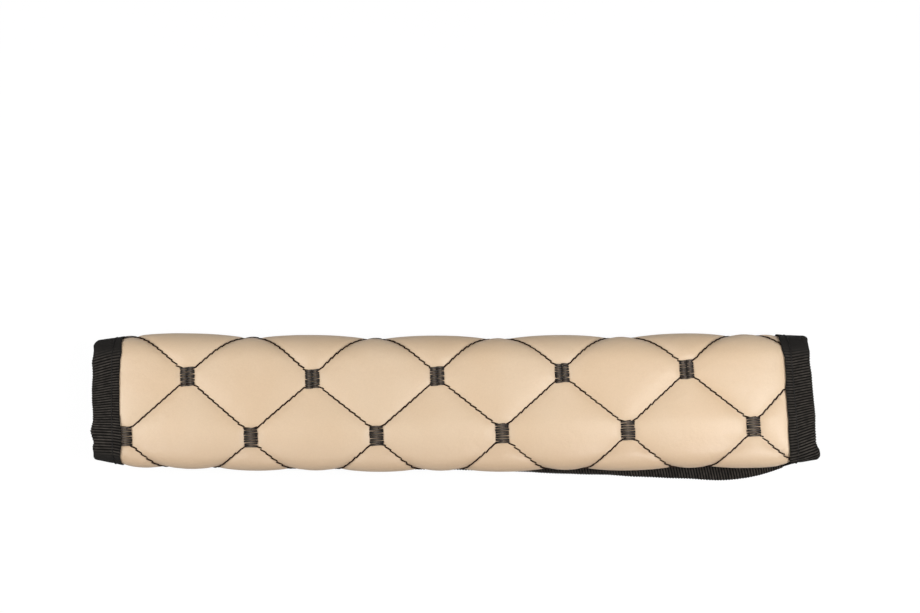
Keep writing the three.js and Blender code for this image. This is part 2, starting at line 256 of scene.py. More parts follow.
class Graph:
    def __init__(self, tree):
        self.tree = tree

    def node(self, kind, inputs=None, settings=None, output=0):
        made = self.tree.nodes.new(kind)
        for label, value in (settings or {}).items():
            setattr(made, label, value)
        for key, value in (inputs or {}).items():
            if isinstance(value, Wire):
                self.tree.links.new(value.socket, made.inputs[key])
            else:
                made.inputs[key].default_value = value
        return Wire(self, made.outputs[output]) if made.outputs else None

    def attribute(self, name):
        return self.node("ShaderNodeAttribute", {}, {"attribute_name": name}, "Fac")

    def named(self, name, kind):
        return self.node("GeometryNodeInputNamedAttribute", {"Name": name}, {"data_type": kind})

    def mixColour(self, share, first, second):
        return self.node("ShaderNodeMix", {0: share, 6: first, 7: second}, {"data_type": "RGBA"}, 2)

    def noise(self, where, scale, detail=2.0, roughness=0.5):
        inputs = {"Vector": where, "Scale": scale, "Detail": detail, "Roughness": roughness}
        return self.node("ShaderNodeTexNoise", inputs)

    def spread(self, value, low, high, toLow=0.0, toHigh=1.0):
        inputs = {0: value, 1: low, 2: high, 3: toLow, 4: toHigh}
        return self.node("ShaderNodeMapRange", inputs)

    def relief(self, where, scale, distance, strength, below=None):
        return self.bump(self.noise(where, scale), distance, strength, below)

    def bump(self, height, distance, strength, below=None):
        inputs = {"Height": height, "Distance": distance, "Strength": strength}
        if below is not None:
            inputs["Normal"] = below
        return self.node("ShaderNodeBump", inputs)


def newMaterial(name):
    material = bpy.data.materials.new(name)
    material.use_nodes = True
    material.node_tree.nodes.clear()
    graph = Graph(material.node_tree)
    where = graph.node("ShaderNodeTexCoord", {}, {}, "Object")
    return material, graph, where


def closeMaterial(material, graph, base, rough, normal, specular):
    inputs = {"Base Color": base, "Roughness": rough, "Normal": normal, "Specular IOR Level": specular}
    shader = graph.node("ShaderNodeBsdfPrincipled", inputs)
    graph.node("ShaderNodeOutputMaterial", {"Surface": shader})
    return material


def colour(red, green, blue):
    # a colour as it reads on screen, from 0 to 255, to what a shader takes
    parts = [value / 255 for value in (red, green, blue)]
    return (*[p / 12.92 if p <= 0.04045 else ((p + 0.055) / 1.055) ** 2.4 for p in parts], 1)


def geometryTree(name, labels):
    tree = bpy.data.node_groups.new(name, "GeometryNodeTree")
    kinds = {"Geometry": "Geometry", **dict.fromkeys(labels, "Float"), "Material": "Material"}
    for label, kind in kinds.items():
        tree.interface.new_socket(label, in_out="INPUT", socket_type="NodeSocket" + kind)
    tree.interface.new_socket("Geometry", in_out="OUTPUT", socket_type="NodeSocketGeometry")
    source = tree.nodes.new("NodeGroupInput")
    graph = Graph(tree)
    given = {socket.name: Wire(graph, socket) for socket in source.outputs if socket.name}
    return graph, given


def closeTree(graph, geometry, material):
    real = graph.node("GeometryNodeRealizeInstances", {"Geometry": geometry})
    dressed = graph.node("GeometryNodeSetMaterial", {"Geometry": real, "Material": material})
    graph.node("NodeGroupOutput", {"Geometry": dressed})
    return graph.tree


def grow(name, mesh, tree, material, sizes):
    # runs a node tree on a mesh; sizes may hold more than the tree's own inputs
    carrier = newObject(name + "Path", mesh)
    modifier = carrier.modifiers.new("grow", "NODES")
    modifier.node_group = tree
    values = {label.capitalize(): value for label, value in sizes.items()}
    values["Material"] = material
    for socket in tree.interface.items_tree:
        if socket.in_out == "INPUT" and socket.name in values:
            modifier[socket.identifier] = values[socket.name]
    return bake(carrier, name)


strandShape = {
    "taper": 0.45, "taperPower": 4, "smallest": (0.94, 0.9, 0.85), "largest": (1.05, 1.1, 1.1),
    "turnSeed": 7, "sizeSeed": 3,
}
ribShape = {"power": 0.6, "least": 0.78, "seed": 11}


def makeStitchTree():
    # short arched strands, one at each step along a path; "outward" is the way out of the cloth
    labels = ["Pitch", "Length", "Width", "Height", "Turn", "Jitter", "Sides", "Steps"]
    graph, given = geometryTree("stitches", labels)
    half = given["Length"] * 0.5
    start = graph.node("ShaderNodeCombineXYZ", {"X": 0 - half})
    top = graph.node("ShaderNodeCombineXYZ", {"Z": given["Height"] * 2})
    end = graph.node("ShaderNodeCombineXYZ", {"X": half})
    ends = {"Resolution": given["Steps"], "Start": start, "Middle": top, "End": end}
    arc = graph.node("GeometryNodeCurveQuadraticBezier", ends)
    factor = graph.node("GeometryNodeSplineParameter")
    taper = 1 - abs(factor * 2 - 1) ** strandShape["taperPower"] * strandShape["taper"]
    arc = graph.node("GeometryNodeSetCurveRadius", {"Curve": arc, "Radius": taper})
    stored = {"Geometry": arc, "Name": "strand", "Value": factor}
    arc = graph.node("GeometryNodeStoreNamedAttribute", stored, {"data_type": "FLOAT", "domain": "POINT"})
    ring = {"Resolution": given["Sides"], "Radius": given["Width"] * 0.5}
    ring = graph.node("GeometryNodeCurvePrimitiveCircle", ring)
    tube = {"Curve": arc, "Profile Curve": ring, "Fill Caps": True}
    tube = graph.node("GeometryNodeCurveToMesh", tube)
    path = graph.node("GeometryNodeMeshToCurve", {"Mesh": given["Geometry"]})
    spaced = {"Curve": path, "Length": given["Pitch"]}
    spaced = graph.node("GeometryNodeResampleCurve", spaced, {"mode": "LENGTH"})
    outward = graph.named("outward", "FLOAT_VECTOR")
    tangent = graph.node("GeometryNodeInputTangent")
    facing = graph.node(
        "FunctionNodeAxesToRotation",
        {"Primary Axis": outward, "Secondary Axis": tangent},
        {"primary_axis": "Z", "secondary_axis": "X"},
    )
    between = {2: -1.0, 3: 1.0, 8: strandShape["turnSeed"]}
    chance = graph.node("FunctionNodeRandomValue", between, {"data_type": "FLOAT"}, 1)
    turn = graph.node("ShaderNodeCombineXYZ", {"Z": given["Turn"] + chance * given["Jitter"]})
    turn = graph.node("FunctionNodeEulerToRotation", {"Euler": turn})
    turned = {"Rotation": facing, "Rotate By": turn}
    facing = graph.node("FunctionNodeRotateRotation", turned, {"rotation_space": "LOCAL"})
    between = {0: strandShape["smallest"], 1: strandShape["largest"], 8: strandShape["sizeSeed"]}
    size = graph.node("FunctionNodeRandomValue", between, {"data_type": "FLOAT_VECTOR"})
    strands = {"Points": spaced, "Instance": tube, "Rotation": facing, "Scale": size}
    placed = graph.node("GeometryNodeInstanceOnPoints", strands)
    return closeTree(graph, placed, given["Material"])


def makeRibTree():
    # ribs raised across a tape, one at each pitch of "run", the length along it
    graph, given = geometryTree("ribs", ["Pitch", "Rise"])
    outward = graph.named("outward", "FLOAT_VECTOR")
    turns = graph.named("run", "FLOAT") / given["Pitch"]
    seed = turns.whole() + ribShape["seed"]
    chance = graph.node("ShaderNodeTexWhiteNoise", {"W": seed}, {"noise_dimensions": "1D"})
    rib = abs((turns * math.pi).sine()) ** ribShape["power"]
    rise = rib * given["Rise"] * (chance * (1 - ribShape["least"]) + ribShape["least"])
    offset = graph.node("ShaderNodeVectorMath", {0: outward, 3: rise}, {"operation": "SCALE"})
    moved = graph.node("GeometryNodeSetPosition", {"Geometry": given["Geometry"], "Offset": offset})
    return closeTree(graph, moved, given["Material"])


# the camera of the photo, fitted to the tacks in sight and the two long rims
view = {
    "elevation": math.radians(78.4), "focalPixels": 1522.0, "imageWidth": 920,
    "stand": (0.0023, -0.0978, 0.7168),
}


def makeCamera():
    lens = bpy.data.cameras.new("camera")
    lens.sensor_width = 36
    lens.lens = view["focalPixels"] * lens.sensor_width / view["imageWidth"]
    lens.clip_start = 0.01
    lens.clip_end = 20
    camera = newObject("camera", lens)
    camera.location = view["stand"]
    camera.rotation_euler = (math.pi / 2 - view["elevation"], 0, 0)
    scene.camera = camera


makeCamera()

# scales are per metre, each bump a distance in metres and a strength, and a relief has its scale before them
leather = {
    # the third colour here darkens the specks and is also the painted shade beside the seams
    "tone": colour(226, 200, 169), "warm": colour(220, 189, 153), "speckAndSeamShade": colour(150, 116, 84),
    # the fold colour is a painted shade along the lower fold, fading out towards the right end
    "fold": colour(196, 166, 136), "foldShadeReach": 21.0, "foldShadeFade": 45.0, "warmScale": 28.0,
    "warmShare": 0.5, "speckScale": 1500.0, "speckShare": 0.06, "seamShadeReach": 0.22,
    "seamShadeShare": 0.45, "foldShadeShare": 0.55, "grainScale": 1900.0, "grainBump": (0.00005, 0.55),
    "soft": (160.0, 0.0006, 0.45), "pucker": (420.0, 0.00022, 0.4), "roughScale": 700.0,
    "rough": (0.42, 0.54), "specular": 0.6,
}


def makeLeatherette():
    material, graph, where = newMaterial("leatherette")
    broad = graph.spread(graph.noise(where, leather["warmScale"], 3.0), 0.35, 0.65)
    base = graph.mixColour(broad * leather["warmShare"], leather["tone"], leather["warm"])
    speck = graph.spread(graph.noise(where, leather["speckScale"]), 0.3, 0.7)
    base = graph.mixColour(speck * leather["speckShare"], base, leather["speckAndSeamShade"])
    # painted shade: the cover is darkened where its cushions sink low, beside the seams and tacks
    speckAndSeamShade = graph.spread(graph.attribute("crown"), 0.0, leather["seamShadeReach"], 1.0, 0.0)
    base = graph.mixColour(speckAndSeamShade * speckAndSeamShade * leather["seamShadeShare"], base, leather["speckAndSeamShade"])
    # painted shade: a darker band along the lower fold, fading out towards the right end
    base = graph.mixColour(graph.attribute("fold") * leather["foldShadeShare"], base, leather["fold"])
    inputs = {"Vector": where, "Scale": leather["grainScale"]}
    cells = graph.node("ShaderNodeTexVoronoi", inputs, {"feature": "SMOOTH_F1"})
    fine = graph.noise(where, leather["grainScale"] * 1.7)
    normal = graph.bump(cells + fine * 0.6, *leather["grainBump"])
    normal = graph.relief(where, *leather["soft"], normal)
    normal = graph.relief(where, *leather["pucker"], normal)
    rough = graph.spread(graph.noise(where, leather["roughScale"]), 0.3, 0.7, *leather["rough"])
    return closeMaterial(material, graph, base, rough, normal, leather["specular"])


# the quilted cover: its lattice has this many steps from one tack's line to the next
quilt = {
    "steps": 24, "tackSteps": 4, "tackWidth": 5.75, "tackHeight": 7.6, "columnStop": 0.3,
    "coveredEnd": 12.0, "coveredSide": 11.2, "columnReach": 12, "innerColumns": 24, "puffTop": 2.5,
    "puffFold": 2.3, "puffTuck": 0.4, "power": 0.7, "simScale": 0.05, "simStart": 0.4, "frames": 20,
    "slip": 1.2, "tallShare": 97, "cap": 3.4, "fullness": 0.64, "fill": 0.7,
}
# settings of the cloth that swells, by their own names
swellCloth = {
    "quality": 6, "mass": 0.02, "air_damping": 2.0, "tension_stiffness": 12,
    "compression_stiffness": 6, "shear_stiffness": 3, "bending_stiffness": 0.02,
    "vertex_group_mass": "pins", "use_pressure": True, "uniform_pressure_force": 4.0,
    "shrink_min": -0.025,
}


def latticeLength(index, span, tackHalf):
    # the length at a step of the lattice, whose steps are closer on the tacks
    steps, edge = quilt["steps"], quilt["tackSteps"]
    whole = np.floor(index / steps)
    part = index - whole * steps
    near = np.minimum(part, edge) * tackHalf / edge
    middle = np.clip(part - edge, 0, steps - 2 * edge) * (span - 2 * tackHalf) / (steps - 2 * edge)
    far = np.maximum(part - (steps - edge), 0) * tackHalf / edge
    return whole * span + near + middle + far


def columnU(i):
    return panel["origin"] + latticeLength(i, panel["span"], quilt["tackWidth"] / 2)


def rowS(j):
    s = panel["edgeMargin"] + latticeLength(j, rowSpan, quilt["tackHeight"] / 2)
    s = np.where(j == 0, 0, s)
    return np.where(j == panel["rows"] * quilt["steps"], panelWidth, s)


def seamRow(i, row):
    # where the zigzag seam between two rows of tacks passes, as a row index, at a column index
    steps, edge = quilt["steps"], quilt["tackSteps"]
    i = np.asarray(i, float)
    m = np.floor(i / steps)
    part = i - m * steps
    low, high = row * steps + edge, (row + 1) * steps - edge
    here = np.where((m + row) % 2 == 0, low, high)
    there = low + high - here
    return here + (there - here) * np.clip((part - edge) / (steps - 2 * edge), 0, 1)


def makeLattice():
    steps, edge = quilt["steps"], quilt["tackSteps"]
    reach = np.arange(-quilt["columnReach"] * steps, quilt["columnReach"] * steps + 1)
    inside = reach[np.abs(columnU(reach)) < panelEnd - quilt["columnStop"]]
    first, last = int(inside[0]) - 1, int(inside[-1]) + 1
    top = panel["rows"] * steps
    i, j = np.meshgrid(np.arange(first, last + 1), np.arange(top + 1), indexing="ij")
    even = (i + j) % 2 == 0
    number = np.full(i.shape, -1)
    number[even] = np.arange(even.sum())
    faces = []
    for a in range(i.shape[0]):
        for b in range(top + 1):
            if even[a, b]:
                continue
            ring = [(a - 1, b), (a, b - 1), (a + 1, b), (a, b + 1)]
            kept = [number[p, q] for p, q in ring if 0 <= p < i.shape[0] and 0 <= q <= top]
            if len(kept) > 2:
                faces.append(kept)
    i, j = i[even], j[even]
    u, s = np.clip(columnU(i), -panelEnd, panelEnd), rowS(j)
    m, r = np.round(i / steps), np.round(j / steps)
    onTack = (np.abs(i - m * steps) <= edge) & (np.abs(j - r * steps) <= edge) & ((m + r) % 2 == 0)
    row = np.floor(j / steps)
    onSeam = (j == seamRow(i, row)) & (row < panel["rows"])
    covered = np.abs(u) > halfLength - quilt["coveredEnd"]
    covered = covered | (s < quilt["coveredSide"]) | (s > panelWidth - quilt["coveredSide"])
    cell = np.abs(np.sin(math.pi * (i + j) / steps / 2) * np.sin(math.pi * (i - j) / steps / 2))
    cell[onTack | onSeam] = 0
    pinned = onTack | onSeam | covered
    points = {"u": u, "s": s, "cell": cell, "pinned": pinned, "covered": covered}
    return {**points, "faces": faces, "number": number}


def swell(lattice, start):
    # blows the flat quilted sheet up between its seams; gives u, s and lift of every point in millimetres
    scale = quilt["simScale"]
    flat = np.stack([lattice["u"], lattice["s"], start], -1) * scale
    sheet = newObject("swelling", newMesh("swelling", flat, lattice["faces"]))
    pins = sheet.vertex_groups.new(name="pins")
    pins.add(np.flatnonzero(lattice["pinned"]).tolist(), 1.0, "REPLACE")
    cloth = sheet.modifiers.new("cloth", "CLOTH")
    for label, value in swellCloth.items():
        setattr(cloth.settings, label, value)
    cloth.settings.effector_weights.gravity = 0
    cloth.collision_settings.use_collision = False
    cloth.point_cache.frame_start = 1
    cloth.point_cache.frame_end = quilt["frames"]
    for step in range(1, quilt["frames"] + 1):
        scene.frame_set(step)
    shape = sheet.evaluated_get(bpy.context.evaluated_depsgraph_get())
    moved = np.empty(len(flat) * 3)
    shape.data.vertices.foreach_get("co", moved)
    moved = moved.reshape(-1, 3) / scale
    scene.frame_set(1)
    bpy.data.objects.remove(sheet)
    return moved


def stitchRows(faces, rowA, rowB, keysA, keysB, flip=False):
    # fills between two rows of points, taking the nearer next point of either row in turn
    a, b = 0, 0
    while a < len(rowA) - 1 or b < len(rowB) - 1:
        nextA = keysA[a + 1] if a < len(rowA) - 1 else math.inf
        nextB = keysB[b + 1] if b < len(rowB) - 1 else math.inf
        if nextA <= nextB:
            face = [rowA[a], rowA[a + 1], rowB[b]]
            a += 1
        else:
            face = [rowA[a], rowB[b + 1], rowB[b]]
            b += 1
        faces.append(face[::-1] if flip else face)


plainEdge = 12.7  # in from the panel's long edges, just past the tape


def plainRows(steps=6):
    # the places across the panel that its folds need, for a wall without cushions
    rows = [0.0, plainEdge]
    for start, length, *_ in legs[1:5]:
        rows += list(np.linspace(start, start + length, steps + 1))
    rows += [panelWidth - plainEdge, panelWidth]
    return np.array(sorted(set(np.round(rows, 4))))


def makeCover(material):
    lattice = makeLattice()
    covered = lattice["covered"]
    shape = lattice["cell"] ** quilt["power"]
    u, s = lattice["u"], lattice["s"]
    moved = swell(lattice, quilt["simStart"] * shape * np.where(covered, 0, 1))
    slip = moved[:, :2] - np.stack([u, s], -1)
    far = np.linalg.norm(slip, axis=1, keepdims=True)
    slip *= np.minimum(1, quilt["slip"] / np.maximum(far, 1e-9))
    slip[covered] = 0
    u, s = u + slip[:, 0], s + slip[:, 1]
    tall = np.percentile(moved[~lattice["pinned"], 2], quilt["tallShare"])
    print("cover swelled by", round(float(tall), 2), "mm, slip up to", round(float(far.max()), 2))
    lift = np.clip(moved[:, 2] / tall, 0, None) ** quilt["fullness"] * quilt["puffTop"]
    lift = np.minimum(lift, quilt["cap"])
    lift[covered] = 0
    crown = np.clip(lift / quilt["puffTop"], 0, 1)
    # the cushions are lowest on the tucked leg and rise through the lower fold
    outward = smooth((s - tuckLength) / (math.pi * lowerRadius / 2))
    upward = smooth((s - tuckLength - math.pi * lowerRadius / 2) / (math.pi * lowerRadius / 2))
    height = quilt["puffTuck"] + (quilt["puffFold"] - quilt["puffTuck"]) * outward
    height = (height + (quilt["puffTop"] - quilt["puffFold"]) * upward) / quilt["puffTop"]
    points = place(u, patternS(u, s), lift * height)
    faces = list(lattice["faces"])

    # the flat inner wall, and the walls along the four edges
    rows, columns = plainRows(), np.linspace(-panelEnd, panelEnd, quilt["innerColumns"])
    gridU, gridS = np.meshgrid(columns, rows)
    inner = place(gridU, patternS(gridU, gridS), -panel["coverWall"]).reshape(-1, 3)
    base = len(points)
    number = base + np.arange(len(inner)).reshape(len(rows), -1)
    for k in range(len(rows) - 1):
        for m in range(len(columns) - 1):
            faces.append([number[k, m], number[k + 1, m], number[k + 1, m + 1], number[k, m + 1]])
    lat, us, ss = lattice["number"], lattice["u"], lattice["s"]
    edges = (lat[:, 0], lat[:, -1], lat[0], lat[-1])
    south, north, west, east = [[p for p in line if p >= 0] for line in edges]
    for line, k in [(south, 0), (north, -1)]:
        stitchRows(faces, list(number[k]), line, list(columns), list(us[line]), flip=k == -1)
    for line, k in [(west, 0), (east, -1)]:
        stitchRows(faces, list(number[:, k]), line, list(rows), list(ss[line]), flip=k == 0)
    inside = np.zeros(len(inner))
    # where the painted shade along the lower fold lies, fading out towards the right end
    bend = patternS(u, s) - (topStart - math.pi / 2 * lowerRadius)
    fold = smooth(1 - np.abs(bend) / leather["foldShadeReach"]) * smooth((panelEnd - u) / leather["foldShadeFade"])
    attributes = {"crown": np.concatenate([crown, inside]), "fold": np.concatenate([fold, inside])}
    mesh = newMesh("outer_cover", np.concatenate([points, inner]), faces, **attributes)
    carrier = newObject("coverCarrier", mesh)
    finer = carrier.modifiers.new("finer", "SUBSURF")
    finer.levels = finer.render_levels = 1
    cover = bake(carrier, "quilted_cover")
    finishPiece(cover, material, ["outer_cover"])
    print("cover made:", len(cover.data.polygons), "faces")


makeCover(makeLeatherette())

# the strands' own measures are in metres, their lift and spacing over the cloth in millimetres
thread = {
    "pitch": 0.0031, "length": 0.0034, "width": 0.0007, "height": 0.00026, "turn": math.radians(9),
    "jitter": 0.06, "sides": 6, "steps": 5, "lift": 0.26, "spacing": 0.25, "soft": 13,
}
satin = {
    "pitch": 0.00112, "length": 0.0061, "width": 0.00098, "height": 0.0004, "turn": math.pi / 2,
    "jitter": 0.04, "sides": 8, "steps": 10, "lift": 0.42, "reach": 3.95, "columns": (0.0,),
    "slant": 0.12,
}
# the bars of every second row are sewn in two columns
splitSatin = {**satin, "length": 0.0032, "jitter": 0.14, "columns": (-1.5, 1.5)}
strandLook = {
    "fibreScale": 3500.0, "fibreShare": 0.6, "fuzz": (5000.0, 0.00006, 0.6),
    "paintedSheenPower": 1.8, "specular": 0.3,
}


def makeThreadMaterial(name, tone, paintedSheen, rough, paintedSheenShare):
    # a painted highlight: each strand is lighter at its middle, where it stands highest
    material, graph, where = newMaterial(name)
    fibre = graph.spread(graph.noise(where, strandLook["fibreScale"]), 0.35, 0.65)
    middle = (1 - abs(graph.attribute("strand") * 2 - 1)) ** strandLook["paintedSheenPower"]
    share = fibre * strandLook["fibreShare"] + (1 - strandLook["fibreShare"])
    base = graph.mixColour(middle * share * paintedSheenShare, tone, paintedSheen)
    normal = graph.relief(where, *strandLook["fuzz"])
    return closeMaterial(material, graph, base, rough, normal, strandLook["specular"])


stitchTree = makeStitchTree()
ribTree = makeRibTree()


def pathMesh(name, paths, lift):
    # polylines over the panel, each a pair of u and s arrays, as edges with their way out of the cloth
    points, outward, edges = [], [], []
    for u, s in paths:
        first = sum(len(p) for p in points)
        points.append(place(u, s, lift))
        outward.append(outwardAt(u, s))
        edges += [(first + k, first + k + 1) for k in range(len(u) - 1)]
    return newMesh(name, np.concatenate(points), [], edges, outward=np.concatenate(outward))


def soften(values, count):
    # a running mean along a path, the ends held
    wide = np.pad(values, count // 2, mode="edge")
    return np.convolve(wide, np.ones(count) / count, mode="valid")


def makeSeams(material):
    # one zigzag between each two rows of tacks, its corners a little rounded as thread lies
    paths = []
    reach = quilt["columnReach"] * quilt["steps"]
    i = np.arange(-reach, reach + 0.1, 0.5)
    u = np.arange(1.0 - panelEnd, panelEnd - 1.0, thread["spacing"])
    index = np.interp(u, columnU(i), i)
    for row in range(panel["rows"]):
        s = soften(rowS(seamRow(index, row)), thread["soft"])
        paths.append((u, patternS(u, s)))
    mesh = pathMesh("seamPaths", paths, thread["lift"])
    seams = grow("quilting_stitches", mesh, stitchTree, material, thread)
    nodes = [f"quilt_thread_{row + 1}" for row in range(panel["rows"])]
    finishPiece(seams, material, nodes)
    return seams


def tackPlaces():
    # u and s of the middle of every tack, its row and the name of its node
    spots = []
    reach = halfLength - panel["tapeWidth"] + quilt["tackWidth"] / 2
    for r in range(1, panel["rows"]):
        count = 0
        for m in range(-quilt["columnReach"], quilt["columnReach"]):
            u = m * panel["span"] + panel["origin"]
            s = panel["edgeMargin"] + r * rowSpan
            if (m + r) % 2 == 0 and abs(u) < reach:
                count += 1
                spots.append((u, s, r, f"bar_tack_r{r}_c{count}"))
    return spots


def makeTacks(name, material, rows, sizes):
    # satin bars in some rows, each of one or two columns of strands
    spots = [spot for spot in tackPlaces() if spot[2] in rows]
    paths = []
    for u, s, _, _ in spots:
        along = np.linspace(-sizes["reach"], sizes["reach"], 9)
        for column in sizes["columns"]:
            paths.append((np.full(9, u + column), patternS(u, s, False) + along + sizes["slant"] * column))
    tacks = grow(name, pathMesh(name + "Paths", paths, sizes["lift"]), stitchTree, material, sizes)
    finishPiece(tacks, material, [spot[3] for spot in spots])
    return tacks


# each thread's second colour is its painted highlight
threadMaterial = makeThreadMaterial("quiltingThread", colour(32, 13, 2), colour(66, 39, 22), 0.8, 0.5)
satinMaterial = makeThreadMaterial("satinThread", colour(14, 8, 5), colour(150, 137, 124), 0.4, 0.62)
seams = makeSeams(threadMaterial)
tacks = [
    makeTacks("satin_tacks", satinMaterial, (2, 4), satin),
    makeTacks("split_tacks", satinMaterial, (1, 3, 5), splitSatin),
]
print("stitching made:", len(seams.data.polygons), [len(piece.data.polygons) for piece in tacks], "faces")


# the binding tape, folded round the panel's edge; "across" has where its outer side is cut lengthwise
tape = {
    "width": panel["tapeWidth"], "across": (11.4, 10.2, 9.2, 8.2, 6.8, 5.0, 3.2), "clear": 0.3,
    "wall": 0.6, "top": 1.65, "bottom": -4.1, "corner": 1.5, "rise": 0.3, "pitch": 1.31,
    "samples": 8, "picot": 0.18, "innerPicot": 0.4, "innerWave": (0.22, 0.35),
    "outerWave": (0.19, 0.3), "liftWave": (0.3, 0.12), "inwardStart": 2.0, "slantReach": 9.2,
    "square": 8.0, "stitch": 9.2, "groove": 0.25, "grooveReach": 0.9, "plainTop": 1.6,
    # the valley colour is painted shade between the ribs and the crest colour a painted highlight on them,
    # which also tints the lint
    "plainSlope": 1.2, "plainFlat": 0.85, "noseLeast": 0.002, "valleyShade": colour(4, 3, 2),
    "crestSheenAndLint": colour(74, 69, 64), "plain": colour(36, 34, 32),
}


def tapeSection():
    # round the folded tape: distance in from the bound edge, lift, the way out and where ribs stand
    top, bottom = tape["top"] - tape["rise"], tape["bottom"] + tape["rise"]
    wall, corner = tape["wall"] - tape["rise"], tape["corner"]
    rows = [(x, top, 0, 1, 1) for x in (tape["width"], *tape["across"], corner)]
    for centre, first, last in ((top - corner, 0.5, 1.0), (bottom + corner, 1.0, 1.5)):
        for turn in np.linspace(first * math.pi, last * math.pi, 5):
            across, up = math.cos(turn), math.sin(turn)
            rows.append((corner + corner * across, centre + corner * up, across, up, 1))
    rows += [(x, bottom, 0, -1, 1) for x in np.linspace(corner, tape["width"], 5)]
    inner = corner - wall
    rows += [(x, bottom + wall, 0, 1, 0) for x in np.linspace(tape["width"], corner, 3)]
    rows.append((corner - inner, bottom + corner, 0, 0, 0))
    rows.append((corner - inner, top - corner, 0, 0, 0))
    rows += [(x, top - wall, 0, -1, 0) for x in np.linspace(corner, tape["width"], 3)]
    return [np.array(part, float) for part in zip(*rows)]


def tubeFaces(count, size):
    # the faces between rings of points one after the other, and the two ends
    number = np.arange(count * size).reshape(count, size)
    after = np.roll(number, -1, axis=1)
    faces = np.stack([number[:-1], after[:-1], after[1:], number[1:]], -1).reshape(-1, 4).tolist()
    return faces + [list(number[0][::-1]), list(number[-1])]


def makeTape(name, node, length, style, layout):
    # style has the slant of the ribs, the plain stretches as (middle, reach) and where the two edges stand
    # off; layout gives u and s from the length along the tape and the distance in from its bound edge
    xs, lifts, outX, outLift, ribbed = tapeSection()
    count = int(round(length / tape["pitch"] * tape["samples"])) + 1
    run = np.linspace(0, length, count)
    # the slant of the ribs dies out at both ends, which are cut square
    slant = style["slant"] * smooth(run / tape["square"]) * smooth((length - run) / tape["square"])
    slanted = run[:, None] - slant[:, None] * np.minimum(xs, tape["slantReach"])[None]
    seed = len(name)
    inward = smooth((xs[None] - tape["inwardStart"]) / (tape["width"] - tape["inwardStart"]))
    ribs = np.abs(np.sin(math.pi * run / tape["pitch"]))[:, None]
    plain = np.zeros(slanted.shape)
    for middle, reach in style["plain"]:
        away = np.abs(slanted - middle) / reach
        plain = np.maximum(plain, smooth(tape["plainTop"] - away * tape["plainSlope"]))
    picot = tape["picot"] * ribs ** 0.5 * (1 - plain)
    (innerRate, innerSize), (outerRate, outerSize) = tape["innerWave"], tape["outerWave"]
    innerEdge = wave(slanted * innerRate, seed, innerSize * style["wander"]) + picot * tape["innerPicot"]
    outerEdge = wave(slanted * outerRate, seed + 2, outerSize * style["wander"]) + picot
    innerEdge = innerEdge + np.interp(slanted, *zip(*style["inner"]))
    outerEdge = outerEdge + np.interp(slanted, *zip(*style["outer"]))
    x = xs[None] + inward * innerEdge - (1 - inward) * outerEdge
    groove = np.exp(-(((xs[None] - tape["stitch"]) / tape["grooveReach"]) ** 2)) * (lifts[None] > 0)
    liftRate, liftSize = tape["liftWave"]
    lift = lifts[None] + wave(slanted * liftRate, seed + 5, liftSize) - tape["groove"] * groove
    if style["nose"]:
        # both ends are turned in over the edge of the panel
        short = np.clip(np.minimum(run, length - run) / style["nose"], tape["noseLeast"], 1)
        middle = (tape["top"] + tape["bottom"]) / 2
        lift = middle + (lift - middle) * np.sqrt(1 - (1 - short) ** 2)[:, None]
    points = place(*layout(slanted, x), lift)
    # the way out that the ribs rise along, short where the tape is plain
    step = 0.5
    further = place(*layout(slanted, x + outX * ribbed * step), lift + outLift * ribbed * step)
    way = (further - points) / (step * 0.001) * (1 - plain * tape["plainFlat"])[..., None]
    runs = np.repeat(run * 0.001, len(xs))
    attributes = {"outward": way.reshape(-1, 3), "run": runs, "plain": plain.ravel()}
    shape = newMesh(name, points.reshape(-1, 3), tubeFaces(count, len(xs)), **attributes)
    turnOut(shape)
    sizes = {"pitch": tape["pitch"] * 0.001, "rise": tape["rise"] * 0.001}
    piece = grow(name, shape, ribTree, tapeMaterial, sizes)
    finishPiece(piece, tapeMaterial, [node])
    return piece


def turnOut(mesh):
    # a closed mesh whose volume comes out negative has its faces turned over
    points = np.empty(len(mesh.vertices) * 3)
    mesh.vertices.foreach_get("co", points)
    points = points.reshape(-1, 3)
    mesh.calc_loop_triangles()
    corners = np.empty(len(mesh.loop_triangles) * 3, int)
    mesh.loop_triangles.foreach_get("vertices", corners)
    a, b, c = (points[corners.reshape(-1, 3)[:, k]] for k in range(3))
    if np.einsum("ij,ij->i", a, np.cross(b, c)).sum() < 0:
        mesh.flip_normals()


tapeLook = {
    "sheenNoiseScale": 420.0, "sheenNoiseShare": 0.5, "lintScale": 1900.0, "lintShare": 0.3, "ribPower": 3,
    "weave": (3200.0, 0.0001, 0.7), "creaseScale": 190.0, "creaseBump": (0.0016, 0.8), "rough": 0.8,
    "specular": 0.12,
}


def makeTapeMaterial():
    material, graph, where = newMaterial("bindingTape")
    plain = graph.attribute("plain")
    turns = graph.attribute("run") / (tape["pitch"] * 0.001)
    rib = abs((turns * math.pi).sine())
    # painted shade between the ribs and a painted highlight on their crests, the highlight varied at random
    # along the tape
    sheenNoise = graph.spread(graph.noise(where, tapeLook["sheenNoiseScale"], 3.0), 0.35, 0.65)
    sheenAmount = sheenNoise * tapeLook["sheenNoiseShare"] + (1 - tapeLook["sheenNoiseShare"])
    ribbed = graph.mixColour(rib ** tapeLook["ribPower"] * sheenAmount, tape["valleyShade"], tape["crestSheenAndLint"])
    base = graph.mixColour(plain, ribbed, tape["plain"])
    lint = graph.spread(graph.noise(where, tapeLook["lintScale"], 3.0), 0.64, 0.8)
    base = graph.mixColour(lint * tapeLook["lintShare"], base, tape["crestSheenAndLint"])
    normal = graph.relief(where, *tapeLook["weave"])
    creases = graph.noise(where, tapeLook["creaseScale"]) * plain
    normal = graph.bump(creases, *tapeLook["creaseBump"], normal)
    return closeMaterial(material, graph, base, tapeLook["rough"], normal, tapeLook["specular"])


tapeMaterial = makeTapeMaterial()
runLength = panelWidth + 2 * setback
sideEnd = halfLength - tape["width"] - tape["clear"]

